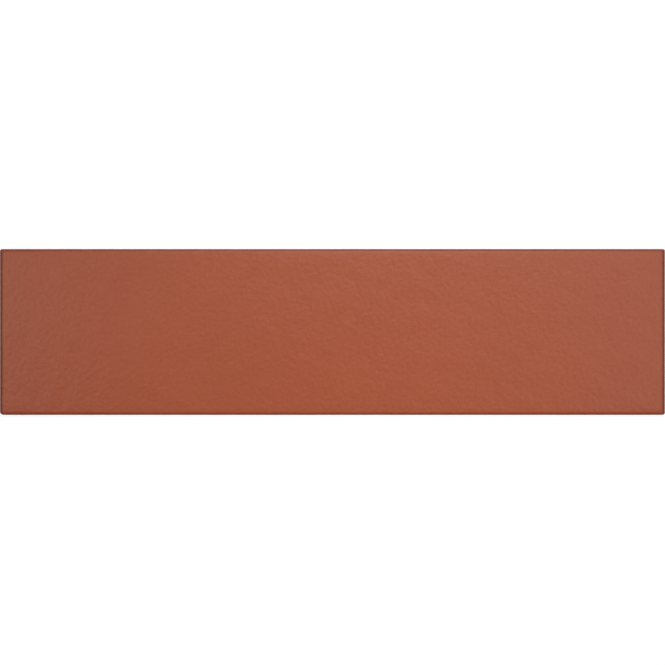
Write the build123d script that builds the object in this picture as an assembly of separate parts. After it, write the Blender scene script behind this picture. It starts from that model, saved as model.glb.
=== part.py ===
from build123d import *
import math
import os

# A pressed and fired floor tile that lies face up. Lengths are in millimetres, angles in degrees.
# The origin is the centre of the back plane, +X runs along the tile and +Z points out of its face.

# Overall size of the fired tile. Length and width are taken where it is widest, just above the back.
tile_length = 368.0
tile_width = 92.0
tile_thickness = 9.0

# The pressed edge. The walls lean in towards the face, so that the tile leaves its die.
side_draft = 2.0
arris_radius = 2.0
back_chamfer = 0.8

# The keyed back: shallow square cells between straight ribs, inside a plain border.
cell_size = 12.4
cell_corner_cut = 1.2
cell_depth = 0.8
cell_draft = 30.0
rib_width = 3.8
least_border = 7.0


def pressed_blank():
    """The plain tile: a slab with leaning walls, rounded face edges and corners, and a chamfered back."""
    spread = 2 * back_chamfer * math.tan(math.radians(side_draft))
    outline = Rectangle(tile_length + spread, tile_width + spread)
    slab = extrude(outline, amount=tile_thickness, taper=side_draft)
    back = slab.faces().sort_by(Axis.Z).first
    slab = fillet(slab.edges() - back.edges(), arris_radius)
    back = slab.faces().sort_by(Axis.Z).first
    return chamfer(back.edges(), back_chamfer)


def cells_along(tile_size):
    """How many whole cells fit along one side of the tile, with ribs between them and a border outside."""
    return math.floor((tile_size - 2 * least_border + rib_width) / (cell_size + rib_width))


def key_cells():
    """The hollows of the back: one drafted cell with its corners cut off, repeated on a centred grid."""
    square = Rectangle(cell_size, cell_size)
    mouth = chamfer(square.vertices(), cell_corner_cut)
    cell = extrude(mouth, amount=cell_depth, taper=cell_draft)
    pitch = cell_size + rib_width
    return GridLocations(pitch, pitch, cells_along(tile_length), cells_along(tile_width)) * cell


def floor_tile():
    """The finished tile, one fired piece: the pressed blank with its back keyed for the bed of adhesive."""
    tile = pressed_blank() - key_cells()
    tile.label = "floor_tile"
    return tile


os.makedirs("parts", exist_ok=True)
export_step(floor_tile(), "parts/floor_tile.step")
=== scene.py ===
import math

import bpy
import numpy as np
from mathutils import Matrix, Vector


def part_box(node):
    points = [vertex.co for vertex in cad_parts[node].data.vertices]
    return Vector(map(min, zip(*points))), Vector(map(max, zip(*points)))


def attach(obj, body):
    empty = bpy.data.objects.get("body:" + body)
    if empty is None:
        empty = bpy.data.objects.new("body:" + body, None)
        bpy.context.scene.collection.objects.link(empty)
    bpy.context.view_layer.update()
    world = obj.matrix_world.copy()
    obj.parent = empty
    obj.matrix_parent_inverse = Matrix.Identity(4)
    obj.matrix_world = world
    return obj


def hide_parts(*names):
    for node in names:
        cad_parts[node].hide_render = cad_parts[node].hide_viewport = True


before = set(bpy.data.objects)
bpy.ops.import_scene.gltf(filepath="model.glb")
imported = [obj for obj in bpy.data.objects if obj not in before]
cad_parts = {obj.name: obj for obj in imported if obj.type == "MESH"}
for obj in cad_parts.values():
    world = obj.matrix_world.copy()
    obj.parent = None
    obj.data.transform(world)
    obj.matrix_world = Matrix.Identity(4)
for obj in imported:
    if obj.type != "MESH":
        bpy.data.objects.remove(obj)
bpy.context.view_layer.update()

# Sizes are in millimetres and angles in degrees, until a mesh, a lamp or the camera takes them in metres.
MM = 0.001

# The tile's outer size, from the frame.
tile_low, tile_high = (np.array(corner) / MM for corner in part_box("floor_tile"))
tile_length, tile_width, tile_thickness = tile_high - tile_low

# The pressed edge, from the face down to the back. Folds that turn by more than the last angle stay crisp.
arris_radius = 2.0
arris_steps = 12
side_draft = 2.0
back_chamfer = 0.8
crisp_fold = 24.0
# Corners of the outline, seen from above, anticlockwise from the one at low x and low y.
corner_radii = np.array([2.2, 1.4, 1.1, 1.2])
corner_steps = 6
# A corner's points count as this far apart along the loop, where a side is 1 long.
corner_place_step = 1e-4

# The glaze runs over the arris and stops on the wall in a slightly wavy, rolled line.
glaze_line_height = 4.4
glaze_line_wander = 0.35
glaze_line_seed = 14
glaze_lip = 0.06
# Rings of the edge on bare clay, counted from the back. The line runs between the last and the next one.
bare_rings = 3

# The face: a fine lattice that falls off gently towards the arris and carries the glaze's skin.
face_spacing = 0.76
edge_fall_width = 4.0
edge_fall_depth = 0.08
# Each relief has its shortest and longest wave, its root mean square height and the seed of its draws.
skin_shortest = 2.6
skin_longest = 6.0
skin_height = 0.022
skin_seed = 11
ripple_shortest = 9.0
ripple_longest = 26.0
ripple_height = 0.028
ripple_seed = 12
warp_shortest = 60.0
warp_longest = 140.0
warp_height = 0.020
warp_seed = 13
wave_count = 140
# The tile's full height lies this many times the summed heights above the middle of the relief.
relief_ceiling = 3.6

# The keyed back: shallow cells between ribs, inside a plain border.
cell_size = 12.4
cell_corner_radius = 2.0
cell_depth = 0.8
cell_draft = 30.0
rib_width = 3.8
cell_pitch = cell_size + rib_width
least_border = 7.0
cell_side_steps = 4
cell_corner_steps = 3

# Points in one cell of a grid this fine are one point of the finished mesh.
# The grid is shifted by a share of its cell, so that round sizes don't fall on its borders.
weld_distance = 0.0002
weld_shift = 0.37
# One unit of the flat chart that the finish is laid out on, with the face and edges low and the back high.
chart_span = 400.0
chart_face_height = 0.30
chart_back_height = 0.75

# The tile's two finishes, in the order of its material slots.
glaze_index, body_index = 0, 1
# Fired glaze and fired clay both bend light about as window glass does.
fired_ior = 1.5

# The glaze's colours where it pools and where it is shallow, and the painted shade along the arris.
glaze_pooled, glaze_shallow, painted_edge_shade = "#984c30", "#ad5638", "#843d25"
glaze_smoothest, glaze_roughest, dry_wall_roughness = 0.34, 0.40, 0.60
# Its patterns: a slow mottle, the grain of the skin, and pits. Real pits are finer than a pixel,
# so they are drawn as coarse as they need to be to show.
mottle_size = 42.0
mottle_share = 0.25
grain_size = 1.7
grain_depth = 0.125
pit_size = 0.5
pit_depth = 0.012
# Painted shade on the arris, by distance in from the outline: faint on the wall, full just inside it, gone
# on the face.
shade_wall_inset, shade_full_inset, shade_face_inset = 0.22, 0.5, 1.8
shade_wall_share = 0.2
# At the two ends of the tile the painted shade reaches further in over the face.
end_shade_full_inset, end_shade_face_inset = 0.8, 3.4
end_shade_share = 0.7
# The glaze is dry as far in as the first distance and satin from the second.
dry_inset, satin_inset = 0.3, 0.9

# The clay's colours, deeper and paler, those of its grit and of the wash, and its roughness.
clay_deep, clay_pale, grit_colour, wash_colour = "#9c583d", "#b06a4b", "#7e4630", "#d8c3b2"
clay_roughness = 0.88
# Real grit is about a quarter of a millimetre. It is drawn as coarse as it needs to be to show.
cloud_size = 18.0
grit_size = 0.6
grit_height = 0.08
# Values of the grit's pattern where a speck begins and is full, and how much of its colour it then has.
speck_begin, speck_full, speck_share = 0.56, 0.72, 0.55
# The wash is on the ribs up to the first height and gone at the second. Its amount follows the cloud.
wash_height, bare_height = 0.05, 0.4
wash_cloud_low, wash_cloud_high = 0.35, 0.65
wash_least, wash_most = 0.12, 0.6

# The floor: its reach each way, its depth under the tile, and its colour for light that bounces.
floor_reach = 6000.0
floor_drop = 0.2
floor_bounce = "#f4f3f1"
# How bright it looks by itself, where 1 is white, and the colour that it adds where light falls on it.
floor_white = 0.80
floor_shade = "#a0a0a0"
# The even surround's brightness, and the sines of the heights between which the backdrop fades into it.
surround = 0.06
backdrop_low, backdrop_high = 0.14, 0.24
plain_white = "#ffffff"

# The picture spans this much of the level where the tile is widest, about this centre.
picture_width = 369.06
picture_centre = 0.055, -0.28
lens_length, sensor_width = 150.0, 36.0


def rounded_loop(half_x, half_y, radii, arc_steps, x_steps, y_steps):
    """Outlines of rounded rectangles, one row for each size: four quarter arcs joined by straight sides.

    An arc's points are its centre plus the radius times the cosine and sine of an angle that turns by
    90 degrees. A side's points share out the line from one arc's end to the next arc's start.
    Each outline runs anticlockwise from the arc at its low x, low y corner.
    """
    signs = np.array([(-1, -1), (1, -1), (1, 1), (-1, 1)])
    centres = signs * (np.stack([half_x, half_y], -1)[:, None] - radii[..., None])
    quarter = np.linspace(0, math.pi / 2, arc_steps + 1)
    angles = math.pi + math.pi / 2 * np.arange(4)[:, None] + quarter
    spokes = np.stack([np.cos(angles), np.sin(angles)], -1)
    arcs = centres[:, :, None] + radii[..., None, None] * spokes
    stretches = []
    for corner, steps in enumerate((x_steps, y_steps, x_steps, y_steps)):
        share = np.linspace(0, 1, steps + 1)[1:-1, None]
        start, end = arcs[:, corner, -1:], arcs[:, (corner + 1) % 4, :1]
        stretches += [arcs[:, corner], start + (end - start) * share]
    return np.concatenate(stretches, axis=1)


def loop_places(arc_steps, x_steps, y_steps):
    """Where a rounded loop's points lie along it: the number of the side plus the share of that side."""
    arc = corner_place_step * (np.arange(arc_steps + 1) - arc_steps / 2)
    stretches = []
    for side, steps in enumerate((x_steps, y_steps, x_steps, y_steps)):
        stretches += [side + arc, side + np.linspace(0, 1, steps + 1)[1:-1]]
    return np.concatenate(stretches)


def lattice_faces(rows, columns, closed):
    """Triangles of points stored row by row, two for each square of neighbours, all round if closed."""
    row, column = np.mgrid[0:rows - 1, 0:columns if closed else columns - 1]
    first, second = row * columns + column, row * columns + (column + 1) % columns
    third, fourth = second + columns, first + columns
    return np.stack([first, second, third, first, third, fourth], -1).reshape(-1, 3)


def bridge_faces(outer_places, inner_places, inner_start):
    """Triangles that fill the band between two loops with different numbers of points.

    Each outer edge joins the inner point nearest to its middle along the loop,
    and each inner edge joins the outer point where that nearest point changes.
    """
    sides = 4
    outer_count, inner_count = len(outer_places), len(inner_places)
    outer_middles = (outer_places + np.append(outer_places[1:], outer_places[0] + sides)) / 2
    inner_middles = (inner_places + np.append(inner_places[1:], inner_places[0] + sides)) / 2
    outer, inner = np.arange(outer_count), np.arange(inner_count)
    nearest = np.searchsorted(inner_middles, outer_middles) % inner_count
    change = np.searchsorted(outer_middles, inner_middles) % outer_count
    from_outer = np.stack([(outer + 1) % outer_count, outer, inner_start + nearest], -1)
    from_inner = np.stack([inner_start + inner, inner_start + (inner + 1) % inner_count, change], -1)
    return np.concatenate([from_outer, from_inner])


def wave_relief(x, y, seed, shortest, longest, height):
    """A random relief: a sum of plane waves, each the cosine of a wave vector times the place plus a phase.

    Headings and phases are even draws, wavelengths are drawn evenly on a log scale between the two given,
    and the sum is scaled to the given root mean square height.
    """
    draw = np.random.default_rng(seed)
    heading = draw.uniform(0, 2 * math.pi, wave_count)
    wavelength = shortest * (longest / shortest) ** draw.uniform(0, 1, wave_count)
    phase = draw.uniform(0, 2 * math.pi, wave_count)
    across = 2 * math.pi / wavelength
    swing = np.outer(x, across * np.cos(heading)) + np.outer(y, across * np.sin(heading)) + phase
    return height * math.sqrt(2 / wave_count) * np.cos(swing).sum(1)


def smooth_step(value):
    """0 below 0, 1 above 1 and an S-shaped rise between: three times the square less twice the cube."""
    value = np.clip(value, 0, 1)
    return value * value * (3 - 2 * value)


def edge_profile():
    """Insets from the outline and heights of the pressed edge, from the back plane up to the face's edge.

    It is a chamfer, a wall that leans in by the draft, a lip where the glaze stops, and an arc that is
    tangent to the wall and to the face: its centre plus the radius times the sine and cosine of the tilt.
    """
    lean = math.tan(math.radians(side_draft))
    tilt = np.radians(np.linspace(90 - side_draft, 0, arris_steps + 1))
    arc_foot = tile_thickness - arris_radius * (1 - math.cos(tilt[0]))
    centre_inset = (arc_foot - back_chamfer) * lean + arris_radius * math.sin(tilt[0])
    bare_line = (glaze_line_height - back_chamfer) * lean
    insets = np.array([back_chamfer, 0.0, bare_line, bare_line - glaze_lip])
    heights = np.array([0.0, back_chamfer, glaze_line_height, glaze_line_height + glaze_lip])
    insets = np.concatenate([insets, centre_inset - arris_radius * np.sin(tilt)])
    heights = np.concatenate([heights, tile_thickness - arris_radius * (1 - np.cos(tilt))])
    return insets, heights


edge_insets, edge_heights = edge_profile()
arris_width = edge_insets[-1]
arris_foot = edge_heights[-1 - arris_steps]
x_steps = round((tile_length - 2 * arris_width) / face_spacing)
y_steps = round((tile_width - 2 * arris_width) / face_spacing)


def edge_loops(insets):
    """Outlines of the tile at the given insets. Their corner radii shrink evenly to nothing at the face."""
    radii = corner_radii * (1 - insets[:, None] / arris_width)
    half_x, half_y = tile_length / 2 - insets, tile_width / 2 - insets
    return rounded_loop(half_x, half_y, radii, corner_steps, x_steps, y_steps)


def side_distance(x, y):
    """How far in from the nearest straight side: half the tile less the distance from its middle."""
    return np.minimum(tile_length / 2 - abs(x), tile_width / 2 - abs(y))


def face_drop(x, y):
    """How far the face lies below the tile's full height.

    It is the skin, ripples and warp of the fired glaze, hung from a ceiling above them, and a fall towards
    the edges that grows as the square of the share of its width.
    """
    relief = wave_relief(x, y, skin_seed, skin_shortest, skin_longest, skin_height)
    relief += wave_relief(x, y, ripple_seed, ripple_shortest, ripple_longest, ripple_height)
    relief += wave_relief(x, y, warp_seed, warp_shortest, warp_longest, warp_height)
    ceiling = relief_ceiling * (skin_height + ripple_height + warp_height)
    inset = side_distance(x, y) - arris_width
    fall = edge_fall_depth * (1 - np.clip(inset / edge_fall_width, 0, 1)) ** 2
    return fall + np.maximum(ceiling - relief, 0)


def tile_chart(positions, height):
    """Places in 0 to 1 on the chart: the plan over the chart's span, centred at the given height."""
    return np.stack([0.5 + positions[:, 0] / chart_span, height + positions[:, 1] / chart_span], -1)


# Each patch below is its points, triangles, places on the chart, insets from the outline and finishes.


def face_patch():
    """The glazed face: a lattice over its rectangle, at full height less the drop."""
    half_x, half_y = tile_length / 2 - arris_width, tile_width / 2 - arris_width
    columns = np.linspace(-half_x, half_x, x_steps + 1)
    rows = np.linspace(-half_y, half_y, y_steps + 1)
    x, y = (grid.ravel() for grid in np.meshgrid(columns, rows))
    points = np.stack([x, y, tile_thickness - face_drop(x, y)], -1)
    faces = lattice_faces(y_steps + 1, x_steps + 1, closed=False)
    chart = tile_chart(points, chart_face_height)
    return points, faces, chart, side_distance(x, y), np.full(len(faces), glaze_index)


def edge_patch():
    """The pressed edge: the profile carried round the outline, ring by ring from the back to the face.

    The face's drop fades out down the arris, and the line where the glaze stops rises and falls along the
    loop. On the chart each ring lies as far outside the face as it is along the profile.
    """
    loops = edge_loops(edge_insets)
    rings, count = loops.shape[:2]
    x, y = loops.reshape(-1, 2).T
    inset = np.repeat(edge_insets, count)
    height = np.repeat(edge_heights, count)
    at_face = smooth_step((height - arris_foot) / (tile_thickness - arris_foot))
    height = height - at_face * face_drop(x, y)
    on_line = np.repeat(np.isin(np.arange(rings), (bare_rings - 1, bare_rings)), count)
    wander = wave_relief(x, y, glaze_line_seed, ripple_shortest, ripple_longest, glaze_line_wander)
    height = height + on_line * wander
    run = np.hypot(np.diff(edge_insets), np.diff(edge_heights))
    beyond_face = np.append(run[::-1].cumsum()[::-1], 0)
    chart = tile_chart(edge_loops(arris_width - beyond_face).reshape(-1, 2), chart_face_height)
    faces = lattice_faces(rings, count, closed=True)
    ring_of_face = faces[:, 0] // count
    finish = np.where(ring_of_face < bare_rings - 1, body_index, glaze_index)
    return np.stack([x, y, height], -1), faces, chart, inset, finish


def cells_along(size):
    """How many whole cells fit along one side, with ribs between them and a border outside.

    It is the room between the borders plus one rib, divided by the pitch and rounded down.
    """
    return math.floor((size - 2 * least_border + rib_width) / cell_pitch)


cell_columns, cell_rows = cells_along(tile_length), cells_along(tile_width)


def back_patch():
    """The keyed back: one cell repeated on a grid one pitch apart, about the tile's middle.

    A cell is a stack of square loops that share its centre: the middle of the ribs round it, its
    round-cornered mouth, its floor, which the drafted walls make smaller, and the floor's middle point.
    """
    floor_size = cell_size - 2 * cell_depth * math.tan(math.radians(cell_draft))
    half = np.array([cell_pitch, cell_size, floor_size, 0]) / 2
    heights = np.array([0, 0, cell_depth, cell_depth])
    radii = cell_corner_radius * np.array([0, 1, floor_size / cell_size, 0])
    radii = np.repeat(radii[:, None], 4, 1)
    loops = rounded_loop(half, half, radii, cell_corner_steps, cell_side_steps, cell_side_steps)
    count = loops.shape[1]
    cell = np.concatenate([loops.reshape(-1, 2), np.repeat(heights, count)[:, None]], -1)
    columns = np.arange(cell_columns) - (cell_columns - 1) / 2
    rows = np.arange(cell_rows) - (cell_rows - 1) / 2
    x, y = (grid.ravel() * cell_pitch for grid in np.meshgrid(columns, rows))
    places = np.stack([x, y, np.zeros(len(x))], -1)
    points = (places[:, None] + cell).reshape(-1, 3)
    one = lattice_faces(len(half), count, closed=True)[:, ::-1]
    faces = (one + len(cell) * np.arange(len(places))[:, None, None]).reshape(-1, 3)
    chart = tile_chart(points, chart_back_height)
    return points, faces, chart, side_distance(*points[:, :2].T), np.full(len(faces), body_index)


def border_patch():
    """The plain border of the back: a flat band from the tile's chamfered edge in to the field of cells."""
    outer = edge_loops(edge_insets[:1])[0]
    field_steps = cell_side_steps * cell_columns, cell_side_steps * cell_rows
    half = np.array([[cell_columns], [cell_rows]]) * cell_pitch / 2
    inner = rounded_loop(*half, np.zeros((1, 4)), 0, *field_steps)[0]
    flat = np.concatenate([outer, inner])
    points = np.concatenate([flat, np.zeros((len(flat), 1))], -1)
    places = loop_places(corner_steps, x_steps, y_steps), loop_places(0, *field_steps)
    faces = bridge_faces(*places, len(outer))
    chart = tile_chart(flat, chart_back_height)
    return points, faces, chart, side_distance(*flat.T), np.full(len(faces), body_index)


def joined(patches):
    """All patches as one closed mesh: coinciding points welded, triangles that lose a side dropped."""
    all_points, all_faces, all_charts, all_insets, all_finishes = zip(*patches)
    starts = np.cumsum([0] + [len(points) for points in all_points[:-1]])
    points, chart = np.concatenate(all_points), np.concatenate(all_charts)
    faces = np.concatenate([faces + start for faces, start in zip(all_faces, starts)])
    inset, finish = np.concatenate(all_insets), np.concatenate(all_finishes)
    keys = np.floor(points / weld_distance + weld_shift).astype(np.int64)
    _, kept, welded = np.unique(keys, axis=0, return_index=True, return_inverse=True)
    corners = welded.reshape(-1)[faces]
    whole = (corners != np.roll(corners, 1, axis=1)).all(1)
    return points[kept], corners[whole], chart[faces[whole]], inset[kept], finish[whole]


def glazed_tile():
    """The whole tile as one closed piece, with its distance from the outline kept for the finishes."""
    patches = [face_patch(), edge_patch(), back_patch(), border_patch()]
    points, corners, chart, inset, finish = joined(patches)
    mesh = bpy.data.meshes.new("glazed_floor_tile")
    mesh.from_pydata(points * MM, [], corners)
    mesh.polygons.foreach_set("material_index", finish.astype(np.int32))
    mesh.shade_smooth()
    mesh.set_sharp_from_angle(angle=math.radians(crisp_fold))
    layer = mesh.uv_layers.new(name="OFBake")
    layer.uv.foreach_set("vector", chart.astype(np.float32).ravel())
    edge_inset = mesh.attributes.new("edge_inset", "FLOAT", "POINT")
    edge_inset.data.foreach_set("value", inset.astype(np.float32))
    mesh.validate()
    piece = bpy.data.objects.new("glazed_floor_tile", mesh)
    bpy.context.scene.collection.objects.link(piece)
    return piece


def linear(hex_code):
    """A colour in sRGB hex, taken through the sRGB curve to linear red, green and blue, with full alpha."""
    shares = [int(hex_code[place:place + 2], 16) / 255 for place in (1, 3, 5)]
    return [s / 12.92 if s <= 0.04045 else ((s + 0.055) / 1.055) ** 2.4 for s in shares] + [1.0]


def add_node(tree, kind, inputs=None, **settings):
    """Adds one node, sets its properties, and gives each named or numbered input its value or its link.

    Inputs go by number where several share a name. A Mix takes its share at 0 and its two sides at 2 and 3,
    or at 6 and 7 for colours. A Map Range takes its value at 0, the range it leaves at 1 and 2, and the
    range it enters at 3 and 4.
    """
    node = tree.nodes.new(kind)
    for name, value in settings.items():
        setattr(node, name, value)
    for place, value in (inputs or {}).items():
        if isinstance(value, bpy.types.NodeSocket):
            tree.links.new(value, node.inputs[place])
        else:
            node.inputs[place].default_value = value
    return node


def new_material(name):
    """An empty node material, its tree and its output node."""
    material = bpy.data.materials.new(name)
    material.use_nodes = True
    material.node_tree.nodes.clear()
    return material, material.node_tree, add_node(material.node_tree, "ShaderNodeOutputMaterial")


def per_mm(size):
    """The scale, on coordinates in metres, of a pattern with features about this many millimetres wide."""
    return 1 / (size * MM)


def satin_terracotta_glaze():
    """Satin-matt iron-red glaze, sprayed on and fired: an even brick red, softly shiny on a pitted skin.

    The eye sees slow, slight changes over the face, a grain like fine leather that is deeper in its
    hollows, and dry walls. A darker line along the arris, wider at the two ends, is painted shade.
    """
    material, tree, output = new_material("satin_terracotta_glaze")
    place = add_node(tree, "ShaderNodeTexCoord").outputs["Object"]
    inset = add_node(tree, "ShaderNodeAttribute", attribute_name="edge_inset").outputs["Fac"]
    mottle = add_node(tree, "ShaderNodeTexNoise", {
        "Vector": place, "Scale": per_mm(mottle_size), "Detail": 3.0}).outputs["Fac"]
    grain = add_node(tree, "ShaderNodeTexNoise", {
        "Vector": place, "Scale": per_mm(grain_size), "Detail": 1.0}).outputs["Fac"]
    pits = add_node(tree, "ShaderNodeTexNoise", {
        "Vector": place, "Scale": per_mm(pit_size), "Detail": 1.0}).outputs["Fac"]

    pooling = add_node(tree, "ShaderNodeMix", {0: mottle_share, 2: grain, 3: mottle})
    body = add_node(tree, "ShaderNodeMix", {
        0: pooling.outputs[0], 6: linear(glaze_pooled), 7: linear(glaze_shallow)}, data_type="RGBA")
    # Painted shade: a darker band along the arris and the top of the wall, wider at the two ends.
    off_wall = add_node(tree, "ShaderNodeMapRange", {
        0: inset, 1: shade_wall_inset, 2: shade_full_inset, 3: shade_wall_share, 4: 1.0},
        interpolation_type="SMOOTHSTEP")
    off_face = add_node(tree, "ShaderNodeMapRange", {
        0: inset, 1: shade_full_inset, 2: shade_face_inset, 3: 1.0, 4: 0.0}, interpolation_type="SMOOTHSTEP")
    along = add_node(tree, "ShaderNodeSeparateXYZ", {0: place}).outputs["X"]
    from_middle = add_node(tree, "ShaderNodeMath", {0: along}, operation="ABSOLUTE")
    at_end = add_node(tree, "ShaderNodeMapRange", {
        0: from_middle.outputs[0], 1: (tile_length / 2 - end_shade_face_inset) * MM,
        2: (tile_length / 2 - end_shade_full_inset) * MM, 3: 0.0, 4: end_shade_share},
        interpolation_type="SMOOTHSTEP")
    line = add_node(tree, "ShaderNodeMath", {
        0: off_face.outputs[0], 1: at_end.outputs[0]}, operation="MAXIMUM")
    painted_shade_amount = add_node(tree, "ShaderNodeMath", {
        0: off_wall.outputs[0], 1: line.outputs[0]}, operation="MULTIPLY")
    # The glaze colour with the painted edge shade mixed in.
    colour = add_node(tree, "ShaderNodeMix", {
        0: painted_shade_amount.outputs[0], 6: body.outputs[2], 7: linear(painted_edge_shade)}, data_type="RGBA")

    sheen = add_node(tree, "ShaderNodeMapRange", {0: mottle, 3: glaze_smoothest, 4: glaze_roughest})
    dry = add_node(tree, "ShaderNodeMapRange", {0: inset, 1: dry_inset, 2: satin_inset, 3: 1.0, 4: 0.0})
    satin = add_node(tree, "ShaderNodeMix", {0: dry.outputs[0], 2: sheen.outputs[0], 3: dry_wall_roughness})
    grained = add_node(tree, "ShaderNodeBump", {
        "Strength": 1.0, "Distance": grain_depth * MM, "Height": grain})
    pitted = add_node(tree, "ShaderNodeBump", {
        "Strength": 1.0, "Distance": pit_depth * MM, "Height": pits, "Normal": grained.outputs[0]})
    shader = add_node(tree, "ShaderNodeBsdfPrincipled", {
        "Base Color": colour.outputs[2], "Roughness": satin.outputs[0], "IOR": fired_ior,
        "Normal": pitted.outputs[0]})
    tree.links.new(shader.outputs[0], output.inputs[0])
    return material


def bare_fired_clay():
    """Unglazed pressed clay, fired: a dry, dusty brick pink with fine grit and a pale bloom of kiln wash.

    The eye sees no sheen, a sandy speckle, and the wash worn onto the raised ribs of the back.
    """
    material, tree, output = new_material("bare_fired_clay")
    place = add_node(tree, "ShaderNodeTexCoord").outputs["Object"]
    height = add_node(tree, "ShaderNodeSeparateXYZ", {0: place}).outputs["Z"]
    cloud = add_node(tree, "ShaderNodeTexNoise", {
        "Vector": place, "Scale": per_mm(cloud_size), "Detail": 4.0}).outputs["Fac"]
    grit = add_node(tree, "ShaderNodeTexNoise", {
        "Vector": place, "Scale": per_mm(grit_size), "Detail": 2.0}).outputs["Fac"]

    clay = add_node(tree, "ShaderNodeMix", {
        0: cloud, 6: linear(clay_deep), 7: linear(clay_pale)}, data_type="RGBA")
    speckle = add_node(tree, "ShaderNodeMapRange", {
        0: grit, 1: speck_begin, 2: speck_full, 3: 0.0, 4: speck_share})
    gritty = add_node(tree, "ShaderNodeMix", {
        0: speckle.outputs[0], 6: clay.outputs[2], 7: linear(grit_colour)}, data_type="RGBA")
    on_rib = add_node(tree, "ShaderNodeMapRange", {
        0: height, 1: wash_height * MM, 2: bare_height * MM, 3: 1.0, 4: 0.0})
    patchy = add_node(tree, "ShaderNodeMapRange", {
        0: cloud, 1: wash_cloud_low, 2: wash_cloud_high, 3: wash_least, 4: wash_most})
    wash = add_node(tree, "ShaderNodeMath", {
        0: on_rib.outputs[0], 1: patchy.outputs[0]}, operation="MULTIPLY")
    colour = add_node(tree, "ShaderNodeMix", {
        0: wash.outputs[0], 6: gritty.outputs[2], 7: linear(wash_colour)}, data_type="RGBA")

    bump = add_node(tree, "ShaderNodeBump", {"Strength": 1.0, "Distance": grit_height * MM, "Height": grit})
    shader = add_node(tree, "ShaderNodeBsdfPrincipled", {
        "Base Color": colour.outputs[2], "Roughness": clay_roughness, "IOR": fired_ior,
        "Normal": bump.outputs[0]})
    tree.links.new(shader.outputs[0], output.inputs[0])
    return material


def eye_rays(tree):
    """A socket that is 1 for what is seen, straight, mirrored or through glass, and 0 for bounced light."""
    path = add_node(tree, "ShaderNodeLightPath")
    direct_or_mirrored = add_node(tree, "ShaderNodeMath", {
        0: path.outputs["Is Camera Ray"], 1: path.outputs["Is Glossy Ray"]}, operation="MAXIMUM")
    seen = add_node(tree, "ShaderNodeMath", {
        0: direct_or_mirrored.outputs[0], 1: path.outputs["Is Transmission Ray"]}, operation="MAXIMUM")
    return seen.outputs[0]


def studio_floor():
    """A wide level floor just under the tile: four corners at its reach, each way from the middle.

    It is pale for light that bounces, and white to the eye apart from shadows.
    """
    mesh = bpy.data.meshes.new("studio_floor")
    signs = np.array([(-1, -1), (1, -1), (1, 1), (-1, 1)])
    corners = np.concatenate([signs * floor_reach, np.full((4, 1), -floor_drop)], -1)
    mesh.from_pydata(corners * MM, [], np.array([(0, 1, 2, 3)]))
    material, tree, output = new_material("pale_studio_floor")
    pale = add_node(tree, "ShaderNodeBsdfDiffuse", {"Color": linear(floor_bounce)})
    shade = add_node(tree, "ShaderNodeBsdfDiffuse", {"Color": linear(floor_shade)})
    white = add_node(tree, "ShaderNodeEmission", {"Color": linear(plain_white), "Strength": floor_white})
    bright = add_node(tree, "ShaderNodeAddShader", {0: shade.outputs[0], 1: white.outputs[0]})
    look = add_node(tree, "ShaderNodeMixShader", {
        0: eye_rays(tree), 1: pale.outputs[0], 2: bright.outputs[0]})
    tree.links.new(look.outputs[0], output.inputs[0])
    mesh.materials.append(material)
    floor = bpy.data.objects.new("studio_floor", mesh)
    bpy.context.scene.collection.objects.link(floor)


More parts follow.
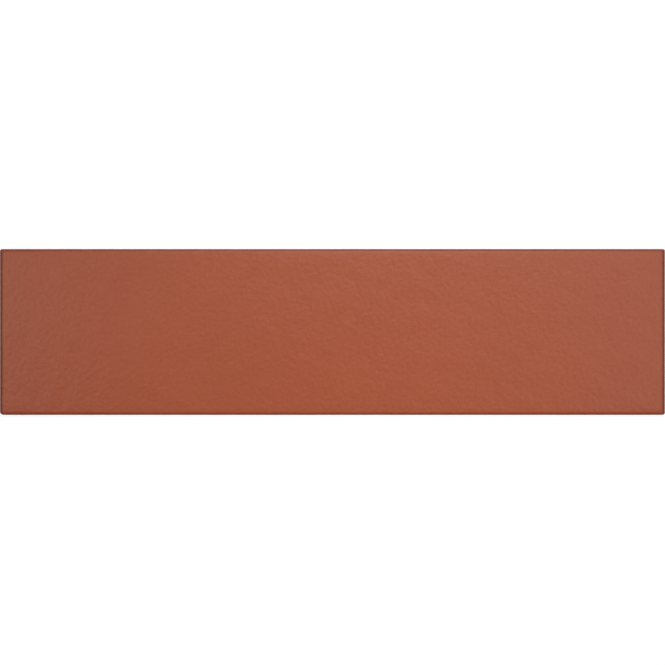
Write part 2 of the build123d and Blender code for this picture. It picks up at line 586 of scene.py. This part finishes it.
def studio_world():
    """An even, dim white surround, with a low backdrop as bright as the far floor, to the eye only."""
    world = bpy.data.worlds.new("studio_surround")
    world.use_nodes = True
    tree = world.node_tree
    heading = add_node(tree, "ShaderNodeTexCoord").outputs["Generated"]
    rise = add_node(tree, "ShaderNodeSeparateXYZ", {0: heading}).outputs["Z"]
    far_floor = floor_white + surround * linear(floor_shade)[0]
    backdrop = add_node(tree, "ShaderNodeMapRange", {
        0: rise, 1: backdrop_low, 2: backdrop_high, 3: far_floor, 4: surround},
        interpolation_type="SMOOTHSTEP")
    strength = add_node(tree, "ShaderNodeMix", {0: eye_rays(tree), 2: surround, 3: backdrop.outputs[0]})
    background = tree.nodes["Background"]
    background.inputs["Color"].default_value = linear(plain_white)
    tree.links.new(strength.outputs[0], background.inputs["Strength"])
    bpy.context.scene.world = world


def softbox(name, place, aim, width, height, watts, gloss=True):
    """A rectangular soft lamp at a place, facing a point, unseen by the camera itself.

    Without gloss it is a polarised lamp, as copy stands have: it shows colour and gives no glare.
    Its multiple importance goes off with the gloss, or rays that happen to hit it bring some glare back.
    """
    lamp = bpy.data.lights.new(name, "AREA")
    lamp.shape = "RECTANGLE"
    lamp.size, lamp.size_y = width * MM, height * MM
    lamp.energy = watts
    lamp.cycles.use_multiple_importance_sampling = gloss
    holder = bpy.data.objects.new(name, lamp)
    holder.location = Vector(place) * MM
    holder.rotation_euler = (Vector(aim) - Vector(place)).to_track_quat("-Z", "Y").to_euler()
    holder.visible_camera = False
    holder.visible_glossy = gloss
    bpy.context.scene.collection.objects.link(holder)


def overhead_camera():
    """A long-lens camera straight above the tile, with +Y up in the picture.

    Its height above the tile's widest level is the picture's width times the lens over the sensor.
    """
    camera = bpy.data.cameras.new("overhead_camera")
    camera.lens, camera.sensor_width = lens_length, sensor_width
    holder = bpy.data.objects.new("overhead_camera", camera)
    height = back_chamfer + picture_width * lens_length / sensor_width
    holder.location = Vector((*picture_centre, height)) * MM
    bpy.context.scene.collection.objects.link(holder)
    bpy.context.scene.camera = holder


tile = glazed_tile()
tile.data.materials.append(satin_terracotta_glaze())
tile.data.materials.append(bare_fired_clay())
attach(tile, "root")
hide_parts("floor_tile")

studio_floor()
studio_world()
# Each lamp has its place, the point that it faces, its width and height, and its power in watts.
softbox("copy_stand_key", (30, -40, 430), (30, -20, 0), 160, 300, 1.15, gloss=False)
softbox("low_end_softbox", (-350, 45, 640), (-350, 45, 0), 140, 220, 0.43)
softbox("high_end_softbox", (385, 20, 640), (385, 20, 0), 320, 420, 0.63)
softbox("far_side_softbox", (60, 200, 640), (60, 200, 0), 300, 140, 0.50)
softbox("far_window", (50, 540, 560), (50, 46, 0), 360, 260, 1.3)
overhead_camera()
bpy.context.scene.view_settings.view_transform = "Standard"
